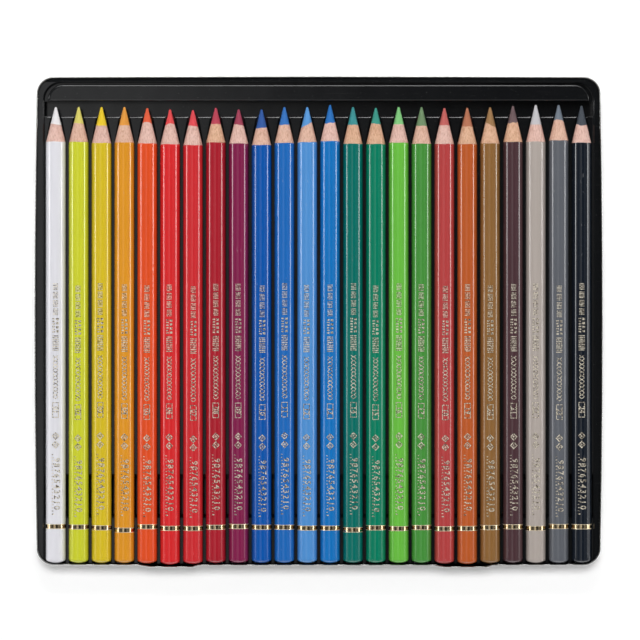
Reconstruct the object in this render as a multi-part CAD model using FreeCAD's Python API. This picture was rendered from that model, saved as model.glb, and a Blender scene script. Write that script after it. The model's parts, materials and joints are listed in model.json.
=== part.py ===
import FreeCAD, Part
import math
import os

# A flat, open tin of coloured pencils in one row, with the moulded tray that holds them. Millimetres.
# +X runs along the row, +Y towards the pencils' tips and +Z up. The origin lies on the standing
# surface, under the middle of the tin.

# Pencils, from left to right. Each tip stands forward or back by its share of tip_spread, and each
# pencil is pushed towards the front wall by its share of the catch lugs' depth.
pencil_names = (
    "white", "lemon", "yellow", "amber", "orange", "scarlet", "red", "crimson",
    "magenta", "ultramarine", "blue", "sky_blue", "cobalt", "teal", "emerald", "light_green",
    "leaf_green", "red_brown", "terracotta", "ochre", "dark_brown", "warm_grey", "slate", "black",
)
tip_shares = (
    0.0, 0.0, 0.0, 0.0, -0.2, -0.4, -0.8, -0.3,
    -0.9, -0.9, 0.0, 0.0, 0.8, 0.0, -0.3, 0.0,
    0.0, -0.1, 0.1, 0.0, 0.4, 0.8, 0.8, 0.5,
)
slide_shares = (
    0.0, 0.0, 0.0, 0.0, 0.28, 0.92, 0.55, 0.0,
    0.0, 0.0, 0.0, 0.0, 0.0, 0.0, 0.0, 0.0,
    0.0, 0.42, 0.69, 0.14, 0.0, 0.0, 0.0, 0.0,
)
pencil_length = 175.0
barrel_diameter = 7.7
pencil_gap = 1.07  # from one barrel to the next
nose_length = 13.5  # sharpened stretch
tip_diameter = 0.7
tip_spread = 1.0
lead_diameter = 3.8
lacquer = 0.1  # step where the lacquer ends at the nose
end_dome = 1.1
dipped_end = 2.0  # closed end behind the lead
glue_gap = 0.02  # round the lead

# Tray, one formed sheet that stands on the tin's floor
tray_sheet = 0.6
channel_clearance = 0.25  # round each barrel
channel_lift = 4.6  # channel floor above the tin's floor
nose_channel_diameter = 5.3  # where the channels open into the trough
rib_drop = 1.5  # rib tops below the pencils' axes
rib_bevel = 0.5  # on the rib ends
side_gap = 0.6  # outer pencils to the pocket's walls
flange_rise = 0.6  # above the pencils' axes
side_flange = 1.95
back_flange = 1.6
flange_bevel = 0.5
pocket_corner = 6.4
tip_reach = 3.7  # tips past the rib ends
tip_gap = 2.2  # tips to the raised bar
bar_width = 6.5
bar_rise = 0.3  # above the flange
bar_end_gap = 1.4
bar_corner_share = 0.92  # of the bar's width
bar_rounding = 1.0
groove_width = 0.5
groove_depth = 2.3
well_start = 18.4  # from the pencils' ends to the finger well's floor
well_width = 13.4
well_near_slope = 1.1
well_far_slope = 2.3

# Tin, a pressed pan with a hemmed rim and two lugs that catch its cover
sheet = 0.3
hem_width = 0.5
hem_height = 2.2
rim_rise = 0.6  # above the tray's flange
tray_clearance = 0.3
end_gap = 0.3  # pencil ends to the hem
corner_radius = 6.8
floor_bend = 0.5  # inside radius between floor and walls
side_bow = 1.0
front_bow = 0.3
lug_spacing = 112.7
lug_flat_length = 15.7
lug_left_ramp = 6.3
lug_right_ramp = 3.2
lug_depth = 0.65
lug_height = 7.2
lug_flat_height = 5.2

overrun = 5.0  # how far a cut runs past what it cuts

# Sizes and places that follow
barrel_radius = barrel_diameter / 2
pitch = barrel_diameter + pencil_gap
row_width = pitch * (len(pencil_names) - 1) + barrel_diameter
pocket_width = row_width + 2 * side_gap
tray_inset = hem_width + tray_clearance
tin_width = pocket_width + 2 * (side_flange + tray_inset)
back_room = tip_gap + bar_width + groove_width + back_flange
tin_depth = hem_width + end_gap + pencil_length + back_room + tray_inset
inner_bend = min(floor_bend, tray_inset - sheet)

middle_y = lug_depth / 2  # of the pan, so that the lugs leave the whole box centred
front_y = middle_y - tin_depth / 2
end_y = front_y + hem_width + end_gap
tip_y = end_y + pencil_length
rib_end_y = tip_y - tip_reach
bar_front_y = tip_y + tip_gap
bar_back_y = bar_front_y + bar_width
pocket_back_y = bar_back_y + groove_width
well_near_y = end_y + well_start
well_far_y = well_near_y + well_width

axis_z = sheet + channel_lift + channel_clearance + barrel_radius
rib_z = axis_z - rib_drop
flange_z = axis_z + flange_rise
bar_z = flange_z + bar_rise
groove_z = bar_z - groove_depth
tin_height = flange_z + rim_rise


def vector(x, y, z):
    return FreeCAD.Vector(x, y, z)


def pencil_x(index):
    return (index - (len(pencil_names) - 1) / 2) * pitch


def bowed_prism(inset, low, high):
    """The tin's plan, drawn in by inset, as a prism: bowed sides between rounded corners."""
    x = tin_width / 2 - inset
    front = front_y + inset
    back = front_y + tin_depth - inset
    corners = [vector(-x, front, low), vector(x, front, low), vector(x, back, low), vector(-x, back, low)]
    middles = [
        vector(0, front - front_bow, low),
        vector(x + side_bow, middle_y, low),
        vector(0, back + front_bow, low),
        vector(-x - side_bow, middle_y, low),
    ]
    sides = [Part.Arc(corners[i], middles[i], corners[(i + 1) % 4]).toShape() for i in range(4)]
    prism = Part.Face(Part.Wire(sides)).extrude(vector(0, 0, high - low))
    upright = [e for e in prism.Edges if e.BoundBox.ZLength > e.BoundBox.DiagonalLength / 2]
    return prism.makeFillet(corner_radius - inset, upright)


def edges_at(shape, height):
    """The edges of a shape that lie flat at a height."""
    near = sheet / 10
    return [e for e in shape.Edges if all(abs(v.Z - height) < near for v in e.Vertexes)]


def lug_block(side, inward):
    """One catch lug as a block with sloping ends and foot, moved in by a wall's thickness."""
    flat_left = side * lug_spacing / 2 - lug_flat_length / 2
    flat_right = flat_left + lug_flat_length
    outer_y = front_y - front_bow - lug_depth + inward
    inner_y = front_y + inward

    def panel(left, right, y, height):
        foot, rim = tin_height - height, tin_height
        low = [vector(left, y, foot), vector(right, y, foot)]
        high = [vector(right, y, rim), vector(left, y, rim)]
        return Part.makePolygon(low + high + low[:1])

    base = panel(flat_left - lug_left_ramp, flat_right + lug_right_ramp, inner_y, lug_height)
    face = panel(flat_left, flat_right, outer_y, lug_flat_height)
    return Part.makeLoft([base, face], True, True)


def make_tin():
    """The pan: bent-up walls of one thickness, doubled by the hem along the rim."""
    outer = bowed_prism(0, 0, tin_height)
    outer = outer.makeFillet(inner_bend + sheet, edges_at(outer, 0))
    hem_z = tin_height - hem_height
    inside = bowed_prism(sheet, sheet, hem_z)
    inside = inside.makeFillet(inner_bend, edges_at(inside, sheet))
    mouth = bowed_prism(hem_width, hem_z, tin_height)
    below_hem = Part.makeBox(tin_width, tin_depth, hem_z, vector(-tin_width / 2, -tin_depth, 0))
    above_hem = below_hem.translated(vector(0, 0, hem_z))
    for side in (-1, 1):
        outer = outer.fuse(lug_block(side, 0))
        inside = inside.fuse(lug_block(side, sheet).common(below_hem))
        mouth = mouth.fuse(lug_block(side, hem_width).common(above_hem))
    return outer.cut([inside, mouth]).removeSplitter()


def across(profile, half_width):
    """A prism along X from a profile of (y, z) points."""
    points = [vector(-half_width, y, z) for y, z in profile]
    face = Part.Face(Part.makePolygon(points + points[:1]))
    return face.extrude(vector(2 * half_width, 0, 0))


def back_rounded(half_width, front, back, corner, height):
    """A flat outline at a height: square at the front, with rounded back corners."""
    turn = corner * (1 - math.sqrt(0.5))
    left, right = -half_width, half_width
    edges = [
        Part.makeLine(vector(left, front, height), vector(right, front, height)),
        Part.makeLine(vector(right, front, height), vector(right, back - corner, height)),
        Part.Arc(
            vector(right, back - corner, height),
            vector(right - turn, back - turn, height),
            vector(right - corner, back, height),
        ).toShape(),
        Part.makeLine(vector(right - corner, back, height), vector(left + corner, back, height)),
        Part.Arc(
            vector(left + corner, back, height),
            vector(left + turn, back - turn, height),
            vector(left, back - corner, height),
        ).toShape(),
        Part.makeLine(vector(left, back - corner, height), vector(left, front, height)),
    ]
    return Part.Wire(edges)


def channel_cuts(grow):
    """The pencils' round channels, with their narrower stretch round the noses."""
    radius = barrel_radius + channel_clearance + grow
    nose_radius = nose_channel_diameter / 2 + grow
    start = front_y - overrun
    shoulder = tip_y - nose_length + tip_spread
    cuts = []
    for index in range(len(pencil_names)):
        x = pencil_x(index)
        along = vector(0, 1, 0)
        cuts.append(Part.makeCylinder(radius, shoulder - start, vector(x, start, axis_z), along))
        cuts.append(
            Part.makeCone(radius, nose_radius, rib_end_y - shoulder, vector(x, shoulder, axis_z), along)
        )
    return cuts


def pocket_cuts(grow):
    """What the flat steps of the tray leave open: over the ribs, the trough, the well and the recess."""
    half = pocket_width / 2 + grow
    top = tin_height + overrun
    floor = sheet + tray_sheet - grow
    rib = rib_z - grow
    start = front_y - overrun
    rib_end = rib_end_y - grow
    over_ribs = [(start, rib), (rib_end, rib), (rib_end, top), (start, top)]
    trough = [
        (rib_end - rib_bevel, top),
        (rib_end - rib_bevel, rib),
        (rib_end, rib - rib_bevel),
        (rib_end, floor),
        (bar_front_y + grow, floor),
        (bar_front_y + grow, top),
    ]
    near, far = well_near_y - grow, well_far_y + grow
    well = [
        (near - well_near_slope, top),
        (near - well_near_slope, rib),
        (near, floor),
        (far, floor),
        (far + well_far_slope, rib),
        (far + well_far_slope, top),
    ]
    outline = back_rounded(half, rib_end_y, pocket_back_y + grow, pocket_corner + grow, groove_z - grow)
    recess = Part.Face(outline).extrude(vector(0, 0, top - groove_z))
    return [across(over_ribs, half), across(trough, half), across(well, half), recess]


def flange_edge():
    """The bevel along the flange's inner edge."""
    half = pocket_width / 2
    start = front_y - overrun
    low = back_rounded(half, start, pocket_back_y, pocket_corner, flange_z - flange_bevel)
    high = back_rounded(
        half + flange_bevel, start, pocket_back_y + flange_bevel, pocket_corner + flange_bevel, flange_z
    )
    return Part.makeLoft([low, high], True, True)


def bar_block(shrink):
    """The raised bar behind the tips, drawn in by shrink on every side but its foot."""
    half = pocket_width / 2 - bar_end_gap - shrink
    corner = bar_corner_share * (bar_width - 2 * shrink)
    outline = back_rounded(half, bar_front_y + shrink, bar_back_y - shrink, corner, sheet)
    block = Part.Face(outline).extrude(vector(0, 0, bar_z - shrink - sheet))
    if shrink:
        return block
    return block.makeFillet(bar_rounding, edges_at(block, bar_z))


def make_tray():
    """The tray as a formed sheet: its upper form, less the same form one sheet thickness down."""
    upper = bowed_prism(tray_inset, sheet, flange_z)
    upper = upper.cut(pocket_cuts(0) + channel_cuts(0) + [flange_edge()])
    upper = upper.fuse(bar_block(0))
    lower = bowed_prism(tray_inset + tray_sheet, sheet, flange_z - tray_sheet)
    lower = lower.cut(pocket_cuts(tray_sheet) + channel_cuts(tray_sheet))
    lower = lower.fuse(bar_block(tray_sheet))
    return upper.cut(lower).removeSplitter()


def turned(profile):
    """A solid turned about the Y axis from (y, radius) points. A third entry is a point that the edge
    to the next point bends through."""
    edges = []
    for here, there in zip(profile, profile[1:] + profile[:1]):
        if len(here) == 3:
            bend = here[2]
            edges.append(
                Part.Arc(
                    vector(0, here[0], here[1]), vector(0, bend[0], bend[1]), vector(0, there[0], there[1])
                ).toShape()
            )
        else:
            edges.append(Part.makeLine(vector(0, here[0], here[1]), vector(0, there[0], there[1])))
    return Part.Face(Part.Wire(edges)).revolve(vector(0, 0, 0), vector(0, 1, 0), 360)


def make_pencil(index):
    """One pencil's casing and lead, lying in its channel."""
    length = pencil_length + tip_shares[index] * tip_spread
    shoulder = length - nose_length
    wood_radius = barrel_radius - lacquer
    taper = nose_length / (wood_radius - tip_diameter / 2)
    bore = lead_diameter / 2
    lead = bore - glue_gap
    dome = (barrel_radius**2 + end_dome**2) / (2 * end_dome)
    halfway = barrel_radius / 2
    casing = turned([
        (0, 0, (dome - math.sqrt(dome**2 - halfway**2), halfway)),
        (end_dome, barrel_radius),
        (shoulder, barrel_radius),
        (shoulder, wood_radius),
        (shoulder + (wood_radius - bore) * taper, bore),
        (dipped_end, bore),
        (dipped_end, 0),
    ])
    core = turned([
        (dipped_end, 0),
        (dipped_end, lead),
        (shoulder + (wood_radius - lead) * taper, lead),
        (length, tip_diameter / 2),
        (length, 0),
    ])
    place = vector(pencil_x(index), end_y - slide_shares[index] * lug_depth, axis_z)
    return casing.translated(place), core.translated(place)


os.makedirs("parts", exist_ok=True)
make_tin().exportStep("parts/tin_base.step")
make_tray().exportStep("parts/insert_tray.step")
for index, name in enumerate(pencil_names):
    casing, core = make_pencil(index)
    casing.exportStep(f"parts/casing_{index + 1:02d}_{name}.step")
    core.exportStep(f"parts/lead_{index + 1:02d}_{name}.step")
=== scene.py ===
# %% [markdown]
# # A tin of twenty-four coloured pencils
# The construction arrives as plain solids in their true places: a pressed tin, a formed tray, and a casing
# and a lead for each pencil. This notebook shapes and finishes what the eye sees, piece by piece, and leaves
# every piece on the body that it moves with. All lengths in Blender are metres, so sizes are written as
# millimetres times MM.

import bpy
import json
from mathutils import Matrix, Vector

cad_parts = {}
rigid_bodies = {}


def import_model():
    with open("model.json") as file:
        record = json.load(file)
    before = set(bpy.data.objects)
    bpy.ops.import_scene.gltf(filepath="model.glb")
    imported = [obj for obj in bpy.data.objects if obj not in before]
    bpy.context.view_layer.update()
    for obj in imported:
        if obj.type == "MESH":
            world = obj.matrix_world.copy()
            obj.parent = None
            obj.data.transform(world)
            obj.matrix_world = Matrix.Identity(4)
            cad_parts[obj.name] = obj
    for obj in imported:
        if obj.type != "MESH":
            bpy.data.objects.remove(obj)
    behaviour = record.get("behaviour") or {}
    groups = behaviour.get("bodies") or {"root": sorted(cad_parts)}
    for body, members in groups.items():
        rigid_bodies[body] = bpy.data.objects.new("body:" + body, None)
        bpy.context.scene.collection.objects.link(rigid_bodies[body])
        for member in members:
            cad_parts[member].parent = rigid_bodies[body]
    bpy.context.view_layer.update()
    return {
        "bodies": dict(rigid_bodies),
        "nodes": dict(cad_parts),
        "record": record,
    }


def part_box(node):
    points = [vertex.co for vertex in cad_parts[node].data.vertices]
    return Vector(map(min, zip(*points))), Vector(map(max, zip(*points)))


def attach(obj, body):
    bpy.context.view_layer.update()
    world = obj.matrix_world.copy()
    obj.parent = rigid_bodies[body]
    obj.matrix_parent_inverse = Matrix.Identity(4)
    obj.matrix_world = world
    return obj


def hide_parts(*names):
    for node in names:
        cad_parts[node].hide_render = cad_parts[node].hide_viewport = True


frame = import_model()

import json
import math

import bpy
from mathutils import Matrix, Vector

MM = 0.001

# %% [markdown]
# ## Where the pencils lie
# Each pencil is a body with two solids, a casing and a lead. Their boxes give the pencil's axis, its dipped
# end and its tip. They could be typed in again here, but reading them keeps the looks and the construction
# together when a size changes.

# %% Read the pencils' places
pencils = []
for body in frame["bodies"]:
    if body.startswith("pencil_"):
        label = body.removeprefix("pencil_")
        casing_low, casing_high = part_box("casing_" + label)
        lead_low, lead_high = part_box("lead_" + label)
        pencils.append({
            "body": body,
            "label": label,
            "colour": label[3:],
            "x": (casing_low.x + casing_high.x) / 2,
            "z": (casing_low.z + casing_high.z) / 2,
            "end": casing_low.y,
            "length": lead_high.y - casing_low.y,
        })
barrel_radius = (casing_high.x - casing_low.x) / 2
print(len(pencils), "pencils, barrel radius", round(barrel_radius / MM, 3), "mm")

# %% [markdown]
# ## Working as by hand
# Blender's operators act on whatever is selected, and the import leaves its nodes selected. So each step
# first puts everything down and then picks up the one piece that it works on.

# %% Pick up, copy and hand over a piece
def put_down_everything():
    """Object mode, with nothing selected."""
    if bpy.context.mode != "OBJECT":
        bpy.ops.object.mode_set(mode="OBJECT")
    bpy.ops.object.select_all(action="DESELECT")


def pick_up(piece):
    """Makes one piece the only selected one."""
    put_down_everything()
    piece.select_set(True)
    bpy.context.view_layer.objects.active = piece


def copy_of(piece, name):
    """A copy that has a mesh of its own."""
    mesh = piece.data.copy()
    mesh.name = name
    copy = bpy.data.objects.new(name, mesh)
    bpy.context.scene.collection.objects.link(copy)
    return copy


def smooth(piece, degrees):
    """Rounds the shading, apart from edges sharper than an angle."""
    pick_up(piece)
    bpy.ops.object.shade_smooth_by_angle(angle=math.radians(degrees))


def keep_flats_flat(piece):
    """Lets the large faces decide the shading, so only the narrow round edges between them are curved."""
    pick_up(piece)
    weights = piece.modifiers.new("flats", "WEIGHTED_NORMAL")
    weights.keep_sharp = True
    bpy.ops.object.modifier_apply(modifier=weights.name)


def hand_over(piece, body, slot, material, *stands_for):
    """Gives a finished piece its material and its place in the assembly."""
    piece.data.materials.clear()
    piece.data.materials.append(material)
    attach(piece, body)
    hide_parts(*stands_for)


print("helpers ready, mode:", bpy.context.mode)

# %% [markdown]
# ## Shader sums as Python
# A material is a tree of nodes. Wiring each Math node by hand is slow to write and hard to read, so one small
# class wraps a socket: adding or multiplying two wrapped sockets adds the Math node, and one method adds any
# other node with its settings and its inputs.

# %% A socket that can be added and multiplied
class Flow:
    """A socket of a node tree. With no socket it only stands for the tree."""

    def __init__(self, tree, socket=None):
        self.tree = tree
        self.socket = socket

    def node(self, kind, settings=None, inputs=None, output=0):
        """Adds a node: its settings first, then the values or links of its sockets."""
        made = self.tree.nodes.new(kind)
        for name, value in (settings or {}).items():
            setattr(made, name, value)
        for name, value in (inputs or {}).items():
            if isinstance(value, Flow):
                self.tree.links.new(value.socket, made.inputs[name])
            else:
                made.inputs[name].default_value = value
        return Flow(self.tree, made.outputs[output])

    def sum_node(self, operation, first, second):
        """Adds a Math node."""
        return self.node("ShaderNodeMath", {"operation": operation}, {0: first, 1: second})

    def __add__(self, other):
        return self.sum_node("ADD", self, other)

    def __radd__(self, other):
        return self.sum_node("ADD", other, self)

    def __sub__(self, other):
        return self.sum_node("SUBTRACT", self, other)

    def __rsub__(self, other):
        return self.sum_node("SUBTRACT", other, self)

    def __mul__(self, other):
        return self.sum_node("MULTIPLY", self, other)

    def __rmul__(self, other):
        return self.sum_node("MULTIPLY", other, self)


print("operators:", [name for name in vars(Flow) if name.startswith("__") and name != "__init__"])

# %% [markdown]
# ## Small tools for every finish
# Real finishes are never one flat colour. Nearly all of their life comes from a few noises at the right size,
# stretched along the way that the thing was made: along the grain, along the dip, along the rolling. Each
# noise here is sized in millimetres on the piece itself, so it stays put when the piece moves.

# %% Noise in millimetres, soft steps, mixes and bumps
def new_finish(name):
    """An empty material, its tree and its shader."""
    material = bpy.data.materials.new(name)
    material.use_nodes = True
    tree = material.node_tree
    shader = next(n for n in tree.nodes if n.type == "BSDF_PRINCIPLED")
    return material, Flow(tree), shader


def grain(flow, size, detail):
    """Noise whose spots are about size millimetres large along X, Y and Z."""
    place = flow.node("ShaderNodeTexCoord", output="Object")
    scaled = flow.node("ShaderNodeMapping", {"vector_type": "POINT"}, {
        "Vector": place, "Scale": tuple(1 / (s * MM) for s in size)})
    return flow.node("ShaderNodeTexNoise", {"noise_dimensions": "3D"}, {
        "Vector": scaled, "Scale": 1.0, "Detail": detail, "Roughness": 0.55})


def step(flow, value, low, high):
    """0 below low, 1 above high, and a soft step between."""
    return flow.node("ShaderNodeMapRange", {"interpolation_type": "SMOOTHSTEP"}, {
        "Value": value, "From Min": low, "From Max": high, "To Min": 0.0, "To Max": 1.0})


def between(flow, value, start, full, fading, end):
    """0 outside start and end, 1 from full to fading, and soft steps between."""
    return step(flow, value, start, full) * step(flow, value, end, fading)


def mix(flow, share, first, second):
    """From the first colour to the second as share goes from 0 to 1."""
    def colour(value):
        return value if isinstance(value, Flow) else (*value, 1.0)
    return flow.node("ShaderNodeMix", {"data_type": "RGBA"}, {
        0: share, 6: colour(first), 7: colour(second)}, output=2)


def bump(flow, height, depth):
    """A height from 0 to 1 as a relief of depth millimetres."""
    return flow.node("ShaderNodeBump", {}, {"Strength": 1.0, "Distance": depth * MM, "Height": height})


def feed(flow, shader, **sockets):
    """Links or sets the shader's sockets, such as Base_Color for Base Color."""
    for name, value in sockets.items():
        socket = shader.inputs[name.replace("_", " ")]
        if isinstance(value, Flow):
            flow.tree.links.new(value.socket, socket)
        else:
            socket.default_value = value


def tinted(colour, share):
    """A colour made darker or lighter by a share."""
    return tuple(min(1.0, channel * share) for channel in colour)


slot_colours = {m["slot"]: tuple(m["base_color"]) for m in frame["record"]["materials"]}
print(len(slot_colours), "slots in the record")

# %% [markdown]
# ## Lacquer
# The casing is dipped several times in coloured lacquer. The coats run along the barrel as they dry, so the
# colour has faint long streaks, and the glossy skin has a fine unevenness that breaks up the reflection of a
# lamp. A clear coat over a duller base gives both the sharp highlight and the deep colour. One function makes
# the lacquer for any colour.

# %% One lacquer for each pencil
def make_lacquer(colour_name):
    """Lacquer in a colour of the record."""
    colour = slot_colours["lacquer_" + colour_name]
    material, flow, shader = new_finish("lacquer_" + colour_name)
    streak = grain(flow, (0.9, 30.0, 0.9), 3.0)
    cloud = grain(flow, (9.0, 26.0, 9.0), 1.0)
    scuff = step(flow, grain(flow, (0.7, 2.2, 0.7), 4.0), 0.66, 0.74)
    run = mix(flow, 0.55 * streak + 0.45 * cloud, tinted(colour, 0.90), tinted(colour, 1.08))
    worn = mix(flow, 0.10 * scuff, run, (0.80, 0.79, 0.77))
    skin = grain(flow, (1.6, 9.0, 1.6), 1.0)
    feed(flow, shader, Base_Color=worn, Roughness=0.40 + 0.10 * cloud + 0.18 * scuff,
         Normal=bump(flow, skin, 0.0015), Specular_IOR_Level=0.04, Coat_Weight=1.0, Coat_Roughness=0.09,
         Coat_IOR=1.55)
    return material


lacquers = {p["colour"]: make_lacquer(p["colour"]) for p in pencils}
print(len(lacquers), "lacquers")

# %% [markdown]
# ## Pigment
# The lead is wax filled with pigment: nearly matt, a little lighter where the sharpener has scraped it, with
# fine rings around the point from the blade.

# %% One pigment for each lead
def make_pigment(colour_name):
    """Pigment in a colour of the record."""
    colour = slot_colours["pigment_" + colour_name]
    material, flow, shader = new_finish("pigment_" + colour_name)
    crumb = grain(flow, (0.16, 0.16, 0.16), 3.0)
    shaved = grain(flow, (0.35, 3.2, 0.35), 2.0)
    ring = grain(flow, (3.0, 0.22, 3.0), 2.0)
    tone = mix(flow, 0.5 * crumb + 0.5 * shaved, tinted(colour, 0.86), tinted(colour, 1.14))
    feed(flow, shader, Base_Color=tone, Roughness=0.46 + 0.16 * crumb,
         Normal=bump(flow, 0.5 * ring + 0.5 * crumb, 0.03))
    return material


pigments = {p["colour"]: make_pigment(p["colour"]) for p in pencils}
print(len(pigments), "pigments")

# %% [markdown]
# ## Cedar
# The sharpened wood is pinkish cedar. Its grain runs along the pencil as fine darker threads, the blade
# leaves shallow rings, and every slat has its own tone between pink and tan. One function makes the wood for a
# tone, and three tones are enough for the row.

# %% The sharpened wood
def make_cedar(name, tan):
    """Cedar whose tone goes from pink to tan as tan goes from 0 to 1."""
    material, flow, shader = new_finish(name)
    thread = grain(flow, (0.30, 7.0, 0.30), 3.0)
    pore = step(flow, grain(flow, (0.16, 2.6, 0.16), 2.0), 0.60, 0.72)
    ring = grain(flow, (4.0, 0.35, 4.0), 2.0)
    patch = grain(flow, (2.4, 5.0, 2.4), 1.0)
    pale = tuple((1 - tan) * p + tan * t for p, t in zip((0.82, 0.57, 0.50), (0.78, 0.50, 0.34)))
    deep = tuple((1 - tan) * p + tan * t for p, t in zip((0.50, 0.26, 0.20), (0.46, 0.22, 0.12)))
    ground = mix(flow, 0.45 * patch, pale, deep)
    threads = mix(flow, 0.8 * step(flow, thread, 0.42, 0.70), ground, deep)
    tone = mix(flow, 0.40 * pore, threads, tinted(deep, 0.6))
    feed(flow, shader, Base_Color=tone, Roughness=0.58 + 0.2 * thread,
         Normal=bump(flow, 0.6 * thread + 0.4 * ring, 0.05))
    return material


cedars = [make_cedar("cedar_pink", 0.0), make_cedar("cedar_rose", 0.5), make_cedar("cedar_tan", 1.0)]
print("cedar:", [c.name for c in cedars])

# %% [markdown]
# ## Gold foil
# The band and the marks are thin pale gold foil, pressed on hot. The rolled band is nearly a smooth mirror, so
# it shows dark sky and bright lamps more than any colour of its own. Its two narrow rims are duller, and their
# paler colour is a painted highlight along the band's edges. The stamped marks are pressed into the soft
# lacquer. Their crumpled face is duller too. On every foil the colour is painted darker in the hollows of the
# creases and paler on their ridges, as painted shade and light. This is strongest on the marks, whose hollows
# are painted nearly black.

# %% The foil
def make_foil(name, shaded_tone, pale, metallic, dullness, crumple):
    """Gold foil whose colour is painted darker in the hollows of its creases and paler on their ridges, as
    shade and light, with a base roughness and a relief of its creases in millimetres.
    """
    material, flow, shader = new_finish(name)
    crease = grain(flow, (0.55, 0.55, 0.55), 2.0)
    rub = step(flow, grain(flow, (0.9, 1.6, 0.9), 3.0), 0.55, 0.72)
    # painted shade and light: the shaded tone in the hollows of the creases, the pale tone on their ridges
    tone = mix(flow, step(flow, crease, 0.40, 0.56), shaded_tone, pale)
    feed(flow, shader, Base_Color=tone, Metallic=metallic, Roughness=dullness + 0.16 * rub,
         Normal=bump(flow, crease, crumple))
    return material


band_gold = make_foil("band_foil", (0.74, 0.54, 0.30), (0.90, 0.74, 0.48),
                      metallic=1.0, dullness=0.12, crumple=0.006)
# the rims: duller foil whose pale, half-metallic colour is a painted highlight along the band's edges
rim_highlight_gold = make_foil("rim_highlight_foil", (0.70, 0.54, 0.32), (0.94, 0.84, 0.64),
                     metallic=0.5, dullness=0.34, crumple=0.02)
# the marks: painted shade, nearly black, in the hollows of the creases, and cream on their ridges
stamp_gold_and_shade = make_foil("stamp_foil_and_shade", (0.14, 0.11, 0.08), (0.94, 0.86, 0.70),
                       metallic=0.5, dullness=0.30, crumple=0.10)
print("foils:", band_gold.name, rim_highlight_gold.name, stamp_gold_and_shade.name)

# %% [markdown]
# ## Tinplate
# The pan is bare tinplate: steel with a thin skin of tin, rolled into sheet. The rolling leaves a fine grain
# along the sheet, and handling leaves dull patches, so the roughness changes more than the colour.

# %% The metal of the pan
tinplate, flow, shader = new_finish("tinplate")
rolled = grain(flow, (14.0, 0.12, 0.12), 3.0)
handled = grain(flow, (18.0, 18.0, 9.0), 2.0)
metal_tone = mix(flow, 0.4 * rolled + 0.6 * handled, (0.57, 0.57, 0.56), (0.67, 0.67, 0.65))
feed(flow, shader, Base_Color=metal_tone, Metallic=1.0,
     Roughness=0.20 + 0.05 * rolled + 0.06 * handled, Normal=bump(flow, rolled, 0.0002))
print("tinplate:", len(tinplate.node_tree.nodes), "nodes")

# %% [markdown]
# ## Black plastic
# The tray is drawn from a glossy black sheet over a mould. Such a sheet is never quite flat, so reflections
# swim a little, and it gathers hairline scratches and specks of dust.

# %% The plastic of the tray
black_plastic, flow, shader = new_finish("tray_plastic")
drawn = grain(flow, (11.0, 16.0, 11.0), 1.0)
hairline = step(flow, grain(flow, (16.0, 0.16, 1.0), 2.0), 0.66, 0.74)
speck = step(flow, grain(flow, (0.42, 0.42, 0.42), 0.0), 0.85, 0.88)
plastic_tone = mix(flow, 0.35 * speck + 0.05 * hairline, (0.0045, 0.0050, 0.0058), (0.20, 0.20, 0.19))
feed(flow, shader, Base_Color=plastic_tone, Roughness=0.11 + 0.07 * drawn + 0.10 * hairline + 0.3 * speck,
     Normal=bump(flow, drawn, 0.03))
print("plastic:", len(black_plastic.node_tree.nodes), "nodes")

# %% [markdown]
# ## A lathe
# Everything on a round pencil is turned: barrel, nose, lead and band. On the screen a lathe is half an
# outline, drawn by extruding one vertex from point to point, and the Spin tool. Points on the axis land on
# top of each other after the spin, so doubles are merged and the normals turned outwards.

# %% Draw half an outline and spin it
TURNS = 72
WELD = 0.002 * MM  # points closer than this become one


def lathe(name, outline):
    """A closed turned piece about the Y axis, from (distance along Y, radius) points in millimetres."""
    put_down_everything()
    bpy.ops.mesh.primitive_plane_add(size=MM)
    piece = bpy.context.object
    piece.name = piece.data.name = name
    bpy.ops.object.mode_set(mode="EDIT")
    bpy.ops.mesh.merge(type="CENTER")
    bpy.ops.transform.translate(value=(0, outline[0][0] * MM, outline[0][1] * MM))
    for (y, radius), (next_y, next_radius) in zip(outline, outline[1:]):
        move = (0, (next_y - y) * MM, (next_radius - radius) * MM)
        bpy.ops.mesh.extrude_region_move(TRANSFORM_OT_translate={"value": move})
    bpy.ops.mesh.select_all(action="SELECT")
    bpy.ops.mesh.spin(steps=TURNS, angle=math.tau, center=(0, 0, 0), axis=(0, 1, 0))
    bpy.ops.mesh.select_all(action="SELECT")
    bpy.ops.mesh.remove_doubles(threshold=WELD)
    bpy.ops.mesh.normals_make_consistent(inside=False)
    bpy.ops.object.mode_set(mode="OBJECT")
    return piece


print("one turn has", TURNS, "steps")

# %% [markdown]
# ## How each pencil was sharpened
# No two noses are alike: the blade takes off a little more or less, and where the lead isn't quite in the
# middle the line between wood and lead runs askew or in an arch. One row of numbers for each pencil says how
# long its nose is, how far behind the tip the wood ends, and how that line slants, arches and ripples.

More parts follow.
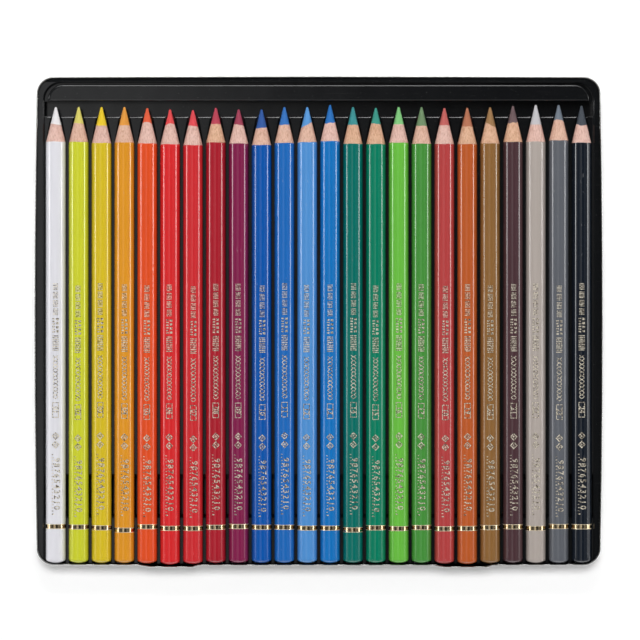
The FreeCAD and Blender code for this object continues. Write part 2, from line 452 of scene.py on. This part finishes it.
# %% Noses, in millimetres
noses = (
    (13.4, 6.7, -0.30, 0.00, 0.05), (13.5, 6.3, -0.20, 0.00, 0.05), (13.9, 7.2, 0.00, -0.05, 0.05),
    (13.7, 7.1, 0.00, 0.00, 0.05), (13.7, 5.7, -0.15, 0.28, 0.03), (13.4, 5.7, 0.25, 0.30, 0.05),
    (13.6, 6.2, -0.25, 0.05, 0.04), (13.4, 6.3, 0.00, 0.00, 0.05), (13.2, 6.0, -0.30, 0.05, 0.05),
    (13.8, 7.2, 0.20, 0.00, 0.05), (13.9, 6.9, 0.15, 0.00, 0.06), (13.6, 6.9, 1.15, 0.00, 0.05),
    (14.0, 7.0, 0.20, 0.00, 0.12), (14.2, 6.9, 0.00, 0.00, 0.04), (14.0, 6.2, -0.25, 0.00, 0.06),
    (13.8, 6.7, 0.00, 0.00, 0.04), (14.2, 7.3, 0.00, 0.00, 0.06), (13.9, 6.7, 0.00, 0.00, 0.04),
    (14.0, 7.2, 0.00, 0.00, 0.05), (14.0, 6.8, -1.05, 0.00, 0.08), (13.9, 6.5, 0.20, 0.00, 0.15),
    (14.2, 7.6, 0.00, 0.00, 0.03), (13.7, 5.9, -0.20, 0.20, 0.06), (14.3, 7.4, -0.10, -0.30, 0.08),
)
for pencil, (nose, back, slant, arch, ripple) in zip(pencils, noses):
    pencil["nose"] = nose
    pencil["cut"] = (back, slant, arch, ripple)
print("noses from", min(n[0] for n in noses), "to", max(n[0] for n in noses), "mm")

# %% [markdown]
# ## The barrel
# The lacquered part of the casing: a round bar with a softly domed, dipped end, and at the nose a thin lip
# where the blade has cut through the lacquer. It is turned once, and each pencil gets a copy whose front part
# is moved to where its own nose starts. It is turned smaller by the thickness of the foil, which is the
# outermost thing on a pencil.

# %% Turn one barrel
FOIL = 0.02  # how far the foil stands proud of the lacquer
RADIUS = round(barrel_radius / MM, 2) - FOIL
DOME = 1.1  # how far the dipped end bulges
LACQUER = 0.1
WOOD = RADIUS - LACQUER
TIP = 0.35  # radius of the blunt point
BARREL = 161.3  # from the end to where the lacquer is cut
ball = (RADIUS**2 + DOME**2) / (2 * DOME)
dome = [(ball - math.sqrt(ball**2 - (share * RADIUS) ** 2), share * RADIUS)
        for share in (0, 0.3, 0.55, 0.75, 0.88)]
barrel_outline = dome + [
    (1.06, 0.953 * RADIUS), (1.36, 0.984 * RADIUS), (1.75, 0.997 * RADIUS), (2.2, RADIUS),
    (60, RADIUS), (110, RADIUS), (BARREL - 0.4, RADIUS), (BARREL - 0.16, RADIUS - 0.015),
    (BARREL - 0.04, RADIUS - 0.045), (BARREL, WOOD), (BARREL, 0),
]
barrel = lathe("barrel", barrel_outline)
print("barrel:", len(barrel.data.polygons), "faces")

# %% [markdown]
# ## The nose and the lead
# Both are parts of one cone, from the barrel to the blunt point, and they meet at the line where the wood
# ends. A cone cut by a slanted plane would do for some pencils, but the line is arched or rippled on others.
# So both are turned with a straight line first, and then the rings of each copy are slid along the cone.

# %% Turn one nose and one lead
NOSE = 13.5
LINE = 6.7  # wood ends this far behind the tip
LENGTH = 175.0
RINGS = 8  # along each cone
TENON, SLACK = 0.2, 0.02  # how far the wood reaches into the barrel, and how much thinner it is there
SOCKET, STUB = 0.4, 0.3  # depth of the wood's hollow front, and of the lead's stub in it
BLUNT = 0.4  # where the cone ends and the rounded point starts
POINT = 0.3  # nearer to the tip than this lie only the rings of the rounded point
ON_AXIS = 0.01  # a smaller radius is the axis


def cone_radius(back, nose):
    """The radius at a distance behind the tip."""
    return TIP + (WOOD - TIP) * back / nose


wood_backs = [NOSE - (NOSE - LINE) * i / RINGS for i in range(RINGS + 1)]
wood_outline = [(LENGTH - NOSE - TENON, 0), (LENGTH - NOSE - TENON, WOOD - SLACK)]
wood_outline += [(LENGTH - back, cone_radius(back, NOSE)) for back in wood_backs]
wood_outline += [(LENGTH - LINE - SOCKET, 0)]
wood_nose = lathe("wood_nose", wood_outline)
lead_backs = [LINE - (LINE - BLUNT) * i / RINGS for i in range(RINGS + 1)]
lead_outline = [(LENGTH - LINE - STUB, 0)]
lead_outline += [(LENGTH - back, cone_radius(back, NOSE)) for back in lead_backs]
lead_outline += [(LENGTH - 0.17, TIP), (LENGTH - 0.05, 0.22), (LENGTH, 0)]
lead_point = lathe("lead_point", lead_outline)
print("nose:", len(wood_nose.data.polygons), "faces, lead:", len(lead_point.data.polygons), "faces")

# %% [markdown]
# ## Sliding the rings
# A vertex between the shoulder and the line keeps its share of the way, so no rings cross, and its radius is
# worked out again so that it stays on the cone. The lacquer's lip follows a slight wave of the blade.

# %% Give a copy its own nose
def cut_line(pencil, angle):
    """How far behind the tip the wood ends, at an angle round the nose from the top."""
    back, slant, arch, ripple = pencil["cut"]
    waves = arch * math.cos(2 * angle) + ripple * math.sin(5 * angle + slant * 9)
    return back - slant * math.sin(angle) - waves


def shoulder_line(pencil, angle):
    """How far behind the tip the lacquer ends."""
    lean = 0.5 * pencil["cut"][1]
    return pencil["nose"] - 0.12 * lean * math.sin(angle) + 0.05 * math.sin(4 * angle + pencil["nose"] * 7)


def sharpen(piece, pencil, kind):
    """Moves a copy's rings to this pencil's nose, shoulder and line."""
    length = pencil["length"] / MM
    for vertex in piece.data.vertices:
        x, y, z = vertex.co / MM
        radius = math.hypot(x, z)
        angle = math.atan2(x, z)
        line = cut_line(pencil, angle)
        shoulder = shoulder_line(pencil, angle)
        behind = LENGTH - y
        if kind == "barrel" and y > BARREL / 2:
            vertex.co.y = (length - (shoulder if radius > ON_AXIS else pencil["nose"]) + y - BARREL) * MM
        if kind == "wood":
            share = (behind - LINE) / (NOSE - LINE)
            back = line + share * (shoulder - line)
            on_cone = radius > ON_AXIS and share <= 1.001
            scale = cone_radius(back, pencil["nose"]) / radius if on_cone else 1
            vertex.co = Vector((x * scale, length - back, z * scale)) * MM
        if kind == "lead":
            back = behind if behind < POINT else BLUNT + (behind - BLUNT) / (LINE - BLUNT) * (line - BLUNT)
            on_cone = radius > ON_AXIS and behind > POINT
            scale = cone_radius(back, pencil["nose"]) / radius if on_cone else 1
            vertex.co = Vector((x * scale, length - back, z * scale)) * MM


print("line behind the tip at the top:", [round(cut_line(p, 0), 2) for p in pencils[:6]])

# %% [markdown]
# ## The foil band
# A band of foil goes round the barrel near its end. It is a closed ring with a thin square section, a few
# hundredths of a millimetre proud, and it is turned on the same lathe. Along both of its edges runs a narrow
# rim of duller foil, whose pale colour is a painted highlight: it stays pale where the middle mirrors the dark
# sky, as a thin bright edge.

# %% Turn one band and its two rims
BAND, RIM = (12.75, 14.65), 0.22


def foil_ring(name, start, end):
    """A ring of foil between two distances from the pencil's end, in millimetres."""
    inner, outer = RADIUS - FOIL, RADIUS + FOIL
    return lathe(name, [(start, inner), (start, outer), (end, outer), (end, inner), (start, inner)])


band = foil_ring("band", BAND[0] + RIM, BAND[1] - RIM)
far_rim = foil_ring("far_rim", BAND[1] - RIM, BAND[1])
rims = foil_ring("rims", BAND[0], BAND[0] + RIM)
far_rim.select_set(True)
bpy.ops.object.join()
print("band:", round(BAND[1] - BAND[0], 2), "mm wide, with", len(rims.data.polygons), "faces in its rims")

# %% [markdown]
# ## Foil marks
# Along the top of each barrel runs a column of fine stamped foil, from a scale with numerals near the end to
# rows of ticks further up. It is laid out flat first, as a printer would, from planes, arrays and text, and
# rolled onto the barrel afterwards. In the table of plates, a plate has its distance from the middle line and
# from the end, its width, its length and its turn, and a row has a count and a pitch.

# %% Lay out plates of foil
def plate(x, y, width, length, turn=0.0):
    """One flat rectangle of foil, in millimetres, turned by some degrees."""
    put_down_everything()
    bpy.ops.mesh.primitive_plane_add(size=MM, location=(x * MM, y * MM, 0),
                                     rotation=(0, 0, math.radians(turn)))
    piece = bpy.context.object
    piece.scale = (width, length, 1)
    bpy.ops.object.transform_apply(location=True, rotation=True, scale=True)
    return piece


def row_of(piece, count, pitch):
    """Repeats a plate along the pencil."""
    pick_up(piece)
    array = piece.modifiers.new("row", "ARRAY")
    array.count = count
    array.use_relative_offset = False
    array.use_constant_offset = True
    array.constant_offset_displace = (0, pitch * MM, 0)
    bpy.ops.object.modifier_apply(modifier=array.name)
    return piece


def hollow(piece, border):
    """Leaves only the border of a plate, by an inset whose middle is taken out."""
    pick_up(piece)
    bpy.ops.object.mode_set(mode="EDIT")
    bpy.ops.mesh.select_all(action="SELECT")
    bpy.ops.mesh.inset(thickness=border * MM)
    bpy.ops.mesh.delete(type="FACE")
    bpy.ops.object.mode_set(mode="OBJECT")
    return piece


NUMBER_PLACE = 58.5  # middle of the frame that holds the pencil's number
plates = [
    row_of(plate(-1.15, 18.6, 0.60, 0.34), 20, 1.2),
    row_of(plate(-1.00, 18.6, 0.90, 0.44), 5, 4.8),
    row_of(hollow(plate(0, 45.2, 2.1, 2.1, 45), 0.40), 2, 3.3),
    row_of(plate(0, 45.2, 0.7, 0.7, 45), 2, 3.3),
    hollow(plate(0, NUMBER_PLACE, 2.5, 5.9), 0.28),
    row_of(plate(0, 81.4, 2.4, 0.36), 9, 0.68),
    row_of(plate(-0.72, 88.4, 1.0, 0.50), 6, 1.0),
    row_of(plate(0.72, 88.6, 1.0, 0.85), 4, 1.55),
]
plates += [row_of(plate(0, start, 2.0, 0.27), 5, 0.54) for start in (95.0, 98.2, 101.4, 104.6)]
print(len(plates), "groups of plates")

# %% [markdown]
# Two fine waves cross each other in the middle of the column. Each is a strip of short planes, turned along
# the wave. The numerals of the scale are text, turned to read towards the end and made a mesh before their
# place is applied.

# %% Add the waves and the numerals
WAVE = (62.8, 79.4)
WAVE_LENGTH, WAVE_HEIGHT, PIECES = 2.9, 0.95, 46
STRIP, OVERLAP = 0.27, 1.05  # width of a wave's strip, and how much longer each of its planes is


def wave_x(y, side):
    """Distance of a wave from the middle line."""
    return side * WAVE_HEIGHT * math.sin(math.tau * (y - WAVE[0]) / WAVE_LENGTH)


def lettering(words, y, size, x=0.0, spacing=1.0, bold=0.0):
    """Numerals as a flat mesh that reads towards the end, their middle at a distance along the pencil. Bold
    widens the strokes on both sides."""
    put_down_everything()
    bpy.ops.object.text_add(location=(x * MM, y * MM, 0), rotation=(0, 0, -math.pi / 2))
    text = bpy.context.object
    text.data.body = words
    text.data.size = size * MM
    text.data.space_character = spacing
    text.data.resolution_u = 2
    text.data.offset = bold * MM
    text.data.align_x, text.data.align_y = "CENTER", "CENTER"
    bpy.ops.object.convert(target="MESH")
    bpy.ops.object.transform_apply(location=True, rotation=True, scale=True)
    return bpy.context.object


for side in (-1, 1):
    for i in range(PIECES):
        y0, y1 = (WAVE[0] + (WAVE[1] - WAVE[0]) * (i + k) / PIECES for k in (0, 1))
        x0, x1 = wave_x(y0, side), wave_x(y1, side)
        run, turn = math.hypot(y1 - y0, x1 - x0), math.degrees(math.atan2(x0 - x1, y1 - y0))
        plates.append(plate((x0 + x1) / 2, (y0 + y1) / 2, STRIP, run * OVERLAP, turn))
numerals = lettering("9876543210", y=30.2, size=3.2, x=0.42, spacing=1.27, bold=0.05)
print("numerals, mm:", [round(side / MM, 1) for side in numerals.dimensions[:2]])
put_down_everything()
for piece in (*plates, numerals):
    piece.select_set(True)
bpy.context.view_layer.objects.active = plates[0]
bpy.ops.object.join()
flat_marks = plates[0]
flat_marks.name = flat_marks.data.name = "flat_marks"
print("flat marks:", len(flat_marks.data.polygons), "faces")

# %% [markdown]
# ## Rolling the foil onto a barrel
# A flat face can't follow a round barrel, so the flat print is first cut along the pencil every third of a
# millimetre with Bisect. Then each vertex's distance from the middle becomes an angle, and Solidify gives the
# foil its thickness.

# %% Number, cut and roll a print
CUT, CUTS = 0.31, 5  # distance between the cuts, and their count on each side of the middle one


def rolled_marks(number, roll, shift, label):
    """A copy of the flat marks with a number, shifted, rolled onto the barrel and turned by some degrees."""
    digits = lettering(f"{number:02d}", NUMBER_PLACE, size=2.8, bold=0.06)
    marks = copy_of(flat_marks, "marks_" + label)
    pick_up(marks)
    digits.select_set(True)
    bpy.ops.object.join()
    bpy.ops.object.mode_set(mode="EDIT")
    for i in range(-CUTS, CUTS + 1):
        bpy.ops.mesh.select_all(action="SELECT")
        bpy.ops.mesh.bisect(plane_co=(CUT * i * MM, 0, 0), plane_no=(1, 0, 0))
    bpy.ops.object.mode_set(mode="OBJECT")
    for vertex in marks.data.vertices:
        angle = vertex.co.x / (RADIUS * MM) + math.radians(roll)
        vertex.co.x, vertex.co.z = RADIUS * MM * math.sin(angle), RADIUS * MM * math.cos(angle)
        vertex.co.y += shift * MM
    solid = marks.modifiers.new("foil", "SOLIDIFY")
    solid.thickness, solid.offset = FOIL * MM, 1.0
    bpy.ops.object.modifier_apply(modifier=solid.name)
    return marks


print("foil thickness", FOIL, "mm")

# %% [markdown]
# ## Putting the pencils together
# Each pencil gets its copies of barrel, nose, lead, band, rims and marks, moved to its place in the tray. The
# stamped side never lies exactly on top, so each print is turned by a few degrees, and it starts a little
# nearer to the end or further from it. The band slips by some tenths of a millimetre too. The barrel and the
# nose together stand for the casing, and the point stands for the lead.

# %% Make twenty-four pencils
# for each pencil: the turn of its print in degrees, the tone of its wood, and the slip of its band
rolls = (2, -1, -5, 3, 0, -3, 4, 1, -2, 5, 2, -4, 0, 3, -2, 1, -3, 4, 0, -1, 2, -4, 1, -2)
slats = (0, 1, 0, 1, 0, 0, 0, 2, 0, 1, 1, 1, 0, 2, 2, 0, 1, 0, 2, 2, 2, 0, 1, 0)
slips = (0.5, 0.3, 0.0, -0.9, 0.6, 0.4, 0.1, 0.2, 0.5, 0.2, 0.2, -0.1,
         -0.1, -0.8, 0.0, -0.3, 0.1, -0.1, 0.2, 0.2, 0.4, -0.2, 0.5, 0.4)
PRINT_SLIP, PRINT_PHASE = 0.5, 2.4  # how far a print slips at most, and how this goes on along the row
PENCIL_SHARP = 40  # degrees, sharper edges of a pencil stay edges
masters = {"barrel": barrel, "wood": wood_nose, "lead": lead_point, "band": band, "rims": rims}


def place(piece, pencil):
    """Moves a piece from the origin to the pencil's end."""
    piece.data.transform(Matrix.Translation((pencil["x"], pencil["end"], pencil["z"])))


for number, (pencil, roll, slat, slip) in enumerate(zip(pencils, rolls, slats, slips), 1):
    label, colour = pencil["label"], pencil["colour"]
    casing = "casing_" + label
    parts = {kind: copy_of(master, f"{kind}_{label}") for kind, master in masters.items()}
    for kind in ("barrel", "wood", "lead"):
        sharpen(parts[kind], pencil, kind)
    parts["marks"] = rolled_marks(number, roll, PRINT_SLIP * math.sin(PRINT_PHASE * number), label)
    for kind in ("band", "rims"):
        parts[kind].data.transform(Matrix.Translation((0, slip * MM, 0)))
    for piece in parts.values():
        place(piece, pencil)
        smooth(piece, PENCIL_SHARP)
    hand_over(parts["barrel"], pencil["body"], "lacquer_" + colour, lacquers[colour], casing)
    hand_over(parts["wood"], pencil["body"], "cedar", cedars[slat], casing)
    hand_over(parts["lead"], pencil["body"], "pigment_" + colour, pigments[colour], "lead_" + label)
    hand_over(parts["band"], pencil["body"], "band_foil", band_gold, casing)
    hand_over(parts["rims"], pencil["body"], "band_foil", rim_highlight_gold, casing)
    hand_over(parts["marks"], pencil["body"], "band_foil", stamp_gold_and_shade, casing)
for master in (*masters.values(), flat_marks):
    bpy.data.objects.remove(master)
print("pieces for each pencil:", list(parts))

# %% [markdown]
# ## One skin from loose triangles
# The tin and the tray come from the construction as loose triangles. A copy is merged into one skin, and
# triangles that lie in one plane are dissolved into one face, so that an edge of the piece is an edge of the
# mesh and can be rounded.

# %% Copy a node as one skin
NEAR = 0.01 * MM  # heights that differ by less are the same
FLAT = 0.3  # degrees, triangles that meet at less lie in one plane
SHEET_SHARP = 35  # degrees, sharper edges of the tin and the tray stay edges


def skin_of(node, name):
    """A copy of a node as one skin of large faces."""
    skin = copy_of(frame["nodes"][node], name)
    pick_up(skin)
    bpy.ops.object.mode_set(mode="EDIT")
    bpy.ops.mesh.select_all(action="SELECT")
    bpy.ops.mesh.remove_doubles(threshold=WELD)
    bpy.ops.mesh.dissolve_limited(angle_limit=math.radians(FLAT))
    bpy.ops.mesh.select_all(action="DESELECT")
    bpy.ops.object.mode_set(mode="OBJECT")
    return skin


tin = skin_of("tin_base", "tin_shell")
tray = skin_of("insert_tray", "tray_sheet")
print("tin:", len(tin.data.polygons), "faces, tray:", len(tray.data.polygons), "faces")

# %% [markdown]
# ## The tin
# The pan is pressed from one sheet, and its edge is folded over into a hem, so the rim is round and never
# sharp. The construction has the true walls with a square rim. Its outer edge gets the larger bevel, because
# the sheet is bent over towards the inside.

# %% Round the rim of the tin
tin_top = max(v.co.z for v in tin.data.vertices)


def round_rim(outside, radius):
    """Bevels the outer or the inner edge of the rim, told apart by the way the wall below it faces."""
    mesh = tin.data
    steep = [face for face in mesh.polygons if abs(face.normal.z) < 0.3]
    walls = {key: face.normal.copy() for face in steep for key in face.edge_keys}
    pick_up(tin)
    bpy.ops.object.mode_set(mode="EDIT")
    bpy.ops.mesh.select_mode(type="EDGE")
    bpy.ops.mesh.select_all(action="DESELECT")
    bpy.ops.object.mode_set(mode="OBJECT")
    count = 0
    for edge in mesh.edges:
        low, high = (mesh.vertices[i].co for i in edge.vertices)
        on_top = abs(low.z - tin_top) < NEAR and abs(high.z - tin_top) < NEAR
        if on_top and edge.key in walls and (walls[edge.key].dot(low + high) > 0) == outside:
            edge.select = True
            count += 1
    bpy.ops.object.mode_set(mode="EDIT")
    bpy.ops.mesh.bevel(offset=radius * MM, offset_type="OFFSET", segments=4, affect="EDGES",
                       clamp_overlap=True)
    bpy.ops.object.mode_set(mode="OBJECT")
    return count


print("outer rim:", round_rim(True, 0.30), "edges, inner rim:", round_rim(False, 0.15), "edges")
hand_over(tin, "tin", "tinplate", tinplate, "tin_base")
smooth(tin, SHEET_SHARP)
keep_flats_flat(tin)

# %% [markdown]
# ## The tray
# One black sheet, drawn over a mould. Drawn sheet has no sharp edges: where it goes over a rib it stays
# round, and each round edge shows a thin line of light. A bevel on all sharp edges gives that. At the rib ends
# the slope is flattened first, as the sheet is thickest there and keeps the softest edge. The flange behind the
# bar falls away a little to the outside, so it stays dark from above: it is cut along a line and tilted.

# %% Soften the edges of the tray
RIB_DROP = 1.5 * MM  # rib tops below the pencils' axes
RIB_BEVEL, SOFT_BEVEL = 0.5 * MM, 0.2 * MM  # fall of the slope at the rib ends, before and after
RIB_ZONE = 8 * MM  # the rib ends lie this near to the foremost tip
FLANGE, FALL = 1.45 * MM, 0.2  # width of the tilted flange, and its slope
EDGE = 0.18 * MM
lead_reach = max(p["end"] + p["length"] for p in pencils)
rib_top = pencils[0]["z"] - RIB_DROP
softened = 0
for vertex in tray.data.vertices:
    at_rib_end = lead_reach - RIB_ZONE < vertex.co.y < lead_reach
    if at_rib_end and abs(vertex.co.z - (rib_top - RIB_BEVEL)) < NEAR:
        vertex.co.z = rib_top - SOFT_BEVEL
        softened += 1
crease = max(v.co.y for v in tray.data.vertices) - FLANGE
flange_top = max(v.co.z for v in tray.data.vertices if v.co.y > crease)
pick_up(tray)
bpy.ops.object.mode_set(mode="EDIT")
bpy.ops.mesh.select_all(action="SELECT")
bpy.ops.mesh.bisect(plane_co=(0, crease, 0), plane_no=(0, 1, 0))
bpy.ops.object.mode_set(mode="OBJECT")
for vertex in tray.data.vertices:
    if vertex.co.z > flange_top - NEAR and vertex.co.y > crease:
        vertex.co.z -= FALL * (vertex.co.y - crease)
        softened += 1
pick_up(tray)
round_edges = tray.modifiers.new("round_edges", "BEVEL")
round_edges.limit_method, round_edges.angle_limit = "ANGLE", math.radians(SHEET_SHARP)
round_edges.width, round_edges.segments = EDGE, 3
round_edges.use_clamp_overlap = True
bpy.ops.object.modifier_apply(modifier=round_edges.name)
hand_over(tray, "tray", "tray_plastic", black_plastic, "insert_tray")
smooth(tray, SHEET_SHARP)
keep_flats_flat(tray)
print("softened", softened, "points, tray:", len(tray.data.polygons), "faces")

# %% [markdown]
# ## Floor
# The box lies on a plain white table. In the picture the table is white up to its edge, so what the camera
# and the mirrors see of it gets a little glow of its own, and the shadow stays.

# %% Floor
FLOOR_SIZE, FLOOR_GAP = 8, 0.05 * MM
GLOW = 0.07
put_down_everything()
bpy.ops.mesh.primitive_plane_add(size=FLOOR_SIZE, location=(0, 0, -FLOOR_GAP))
floor = bpy.context.object
floor.name = "floor"
floor_paint, flow, shader = new_finish("floor_paint")
rays = [flow.node("ShaderNodeLightPath", output=name)
        for name in ("Is Camera Ray", "Is Glossy Ray", "Is Transmission Ray")]
seen = mix(flow, rays[0] + rays[1] + rays[2], (0.0, 0.0, 0.0), (1.0, 1.0, 1.0))
feed(flow, shader, Base_Color=(1.0, 1.0, 1.0, 1.0), Roughness=0.9, Specular_IOR_Level=0.0,
     Emission_Strength=GLOW, Emission_Color=seen)
floor.data.materials.append(floor_paint)
print("floor:", floor.dimensions[:2])

# %% [markdown]
# ## Lamps
# A softbox behind the box draws the lines on the edges of the tray, and a weak one in front lights the
# pencils' ends. Most of the plain light comes from nearly straight above, and a little from both sides. These
# are distant lamps that are kept out of the reflections, because the flat black tray would mirror them.

# %% Softboxes and the overhead light
def softbox(name, degrees, distance, width, height, radiance):
    """A soft lamp that leans from straight up towards the back by some degrees, and faces the box."""
    lean = math.radians(degrees)
    put_down_everything()
    bpy.ops.object.light_add(type="AREA", location=(0, distance * math.sin(lean), distance * math.cos(lean)))
    lamp = bpy.context.object
    lamp.name = name
    lamp.data.shape = "RECTANGLE"
    lamp.data.size, lamp.data.size_y = width, height
    lamp.data.energy = radiance * math.pi * width * height
    lamp.rotation_euler = (-lean, 0, 0)
    lamp.visible_camera = False


softbox("softbox_back", degrees=46, distance=1.0, width=0.42, height=0.11, radiance=12.0)
softbox("fill_front", degrees=-45, distance=1.0, width=0.50, height=0.14, radiance=1.2)


def distant_light(name, turn, share, angle):
    """A far lamp turned by two angles from straight down, that gives a level floor a share of full light."""
    put_down_everything()
    bpy.ops.object.light_add(type="SUN", location=(0, 0.2, 0.9),
                             rotation=[math.radians(t) for t in (*turn, 0)])
    lamp = bpy.context.object
    lamp.name = name
    lamp.data.energy = share * math.pi / math.prod(math.cos(math.radians(t)) for t in turn)
    lamp.data.angle = math.radians(angle)
    lamp.visible_glossy = False


distant_light("overhead", turn=(-17, 0), share=0.50, angle=20)
distant_light("side_left", turn=(0, -55), share=0.035, angle=30)
distant_light("side_right", turn=(0, 55), share=0.035, angle=30)

# %% [markdown]
# ## Sky
# The room is white at the horizon and dark overhead, so black plastic stays black from above. Two bright
# windows low on the left and the right draw the thin lines along every barrel. They get brighter towards the
# back of the room, so each line fades from the tip to the end. A dim patch left of the top gives the tray its
# sheen on that side, and each barrel a soft second line. A glow at the back, which only mirrors see, draws the
# line along the round edge of the bar.

# %% Sky
world = bpy.data.worlds.new("studio")
bpy.context.scene.world = world
world.use_nodes = True
flow = Flow(world.node_tree)
direction = flow.node("ShaderNodeTexCoord", output="Generated")
sky_x, sky_y, sky_z = (flow.node("ShaderNodeSeparateXYZ", {}, {0: direction}, output=axis) for axis in "XYZ")
low = 1.0 - flow.node("ShaderNodeMath", {"operation": "MAXIMUM"}, {0: sky_z, 1: 0.0})
left_patch = 0.34 * step(flow, sky_x, -0.48, -0.36) + 0.56 * step(flow, sky_x, -0.16, -0.10)
left_patch = left_patch * step(flow, sky_x, 0.0, -0.06) * step(flow, sky_y, 0.28, 0.18)
right_patch = 0.22 * between(flow, sky_x, 0.44, 0.54, 0.60, 0.70)
windows = between(flow, sky_z, 0.13, 0.18, 0.31, 0.36) * between(flow, sky_y, -0.12, 0.07, 0.24, 0.34)
windows = windows * (8.2 * step(flow, sky_x, -0.80, -0.90) + 8.5 * step(flow, sky_x, 0.80, 0.90))
back = 6.0 * step(flow, sky_y, 0.74, 0.82) * between(flow, sky_z, 0.30, 0.36, 0.56, 0.62)
mirrored = flow.node("ShaderNodeLightPath", output="Is Glossy Ray")
level = 0.03 + 0.72 * low * low + left_patch + right_patch + windows + back * mirrored
background = next(n for n in world.node_tree.nodes if n.type == "BACKGROUND")
background.inputs["Color"].default_value = (1.0, 1.0, 1.0, 1.0)
world.node_tree.links.new(level.socket, background.inputs["Strength"])
print("sky nodes:", len(world.node_tree.nodes))

# %% [markdown]
# ## Camera
# The picture looks straight down from well above, so the camera keeps Blender's own downward view, with +Y at
# the top of the picture. The lens is worked out from the width that the picture shows at the pencils.

# %% Look straight down
VIEW_WIDTH = 245.6 * MM
VIEW_HEIGHT = 1.5
SENSOR = 36.0
AIM = (0.52 * MM, pencils[0]["end"] + 93.27 * MM)  # the picture's middle
put_down_everything()
bpy.ops.object.camera_add(location=(*AIM, pencils[0]["z"] + VIEW_HEIGHT), rotation=(0, 0, 0))
camera = bpy.context.object
camera.data.sensor_width = SENSOR
camera.data.lens = SENSOR * VIEW_HEIGHT / VIEW_WIDTH
bpy.context.scene.camera = camera
bpy.context.scene.view_settings.view_transform = "Standard"
print("lens:", round(camera.data.lens, 1), "mm")

# %% [markdown]
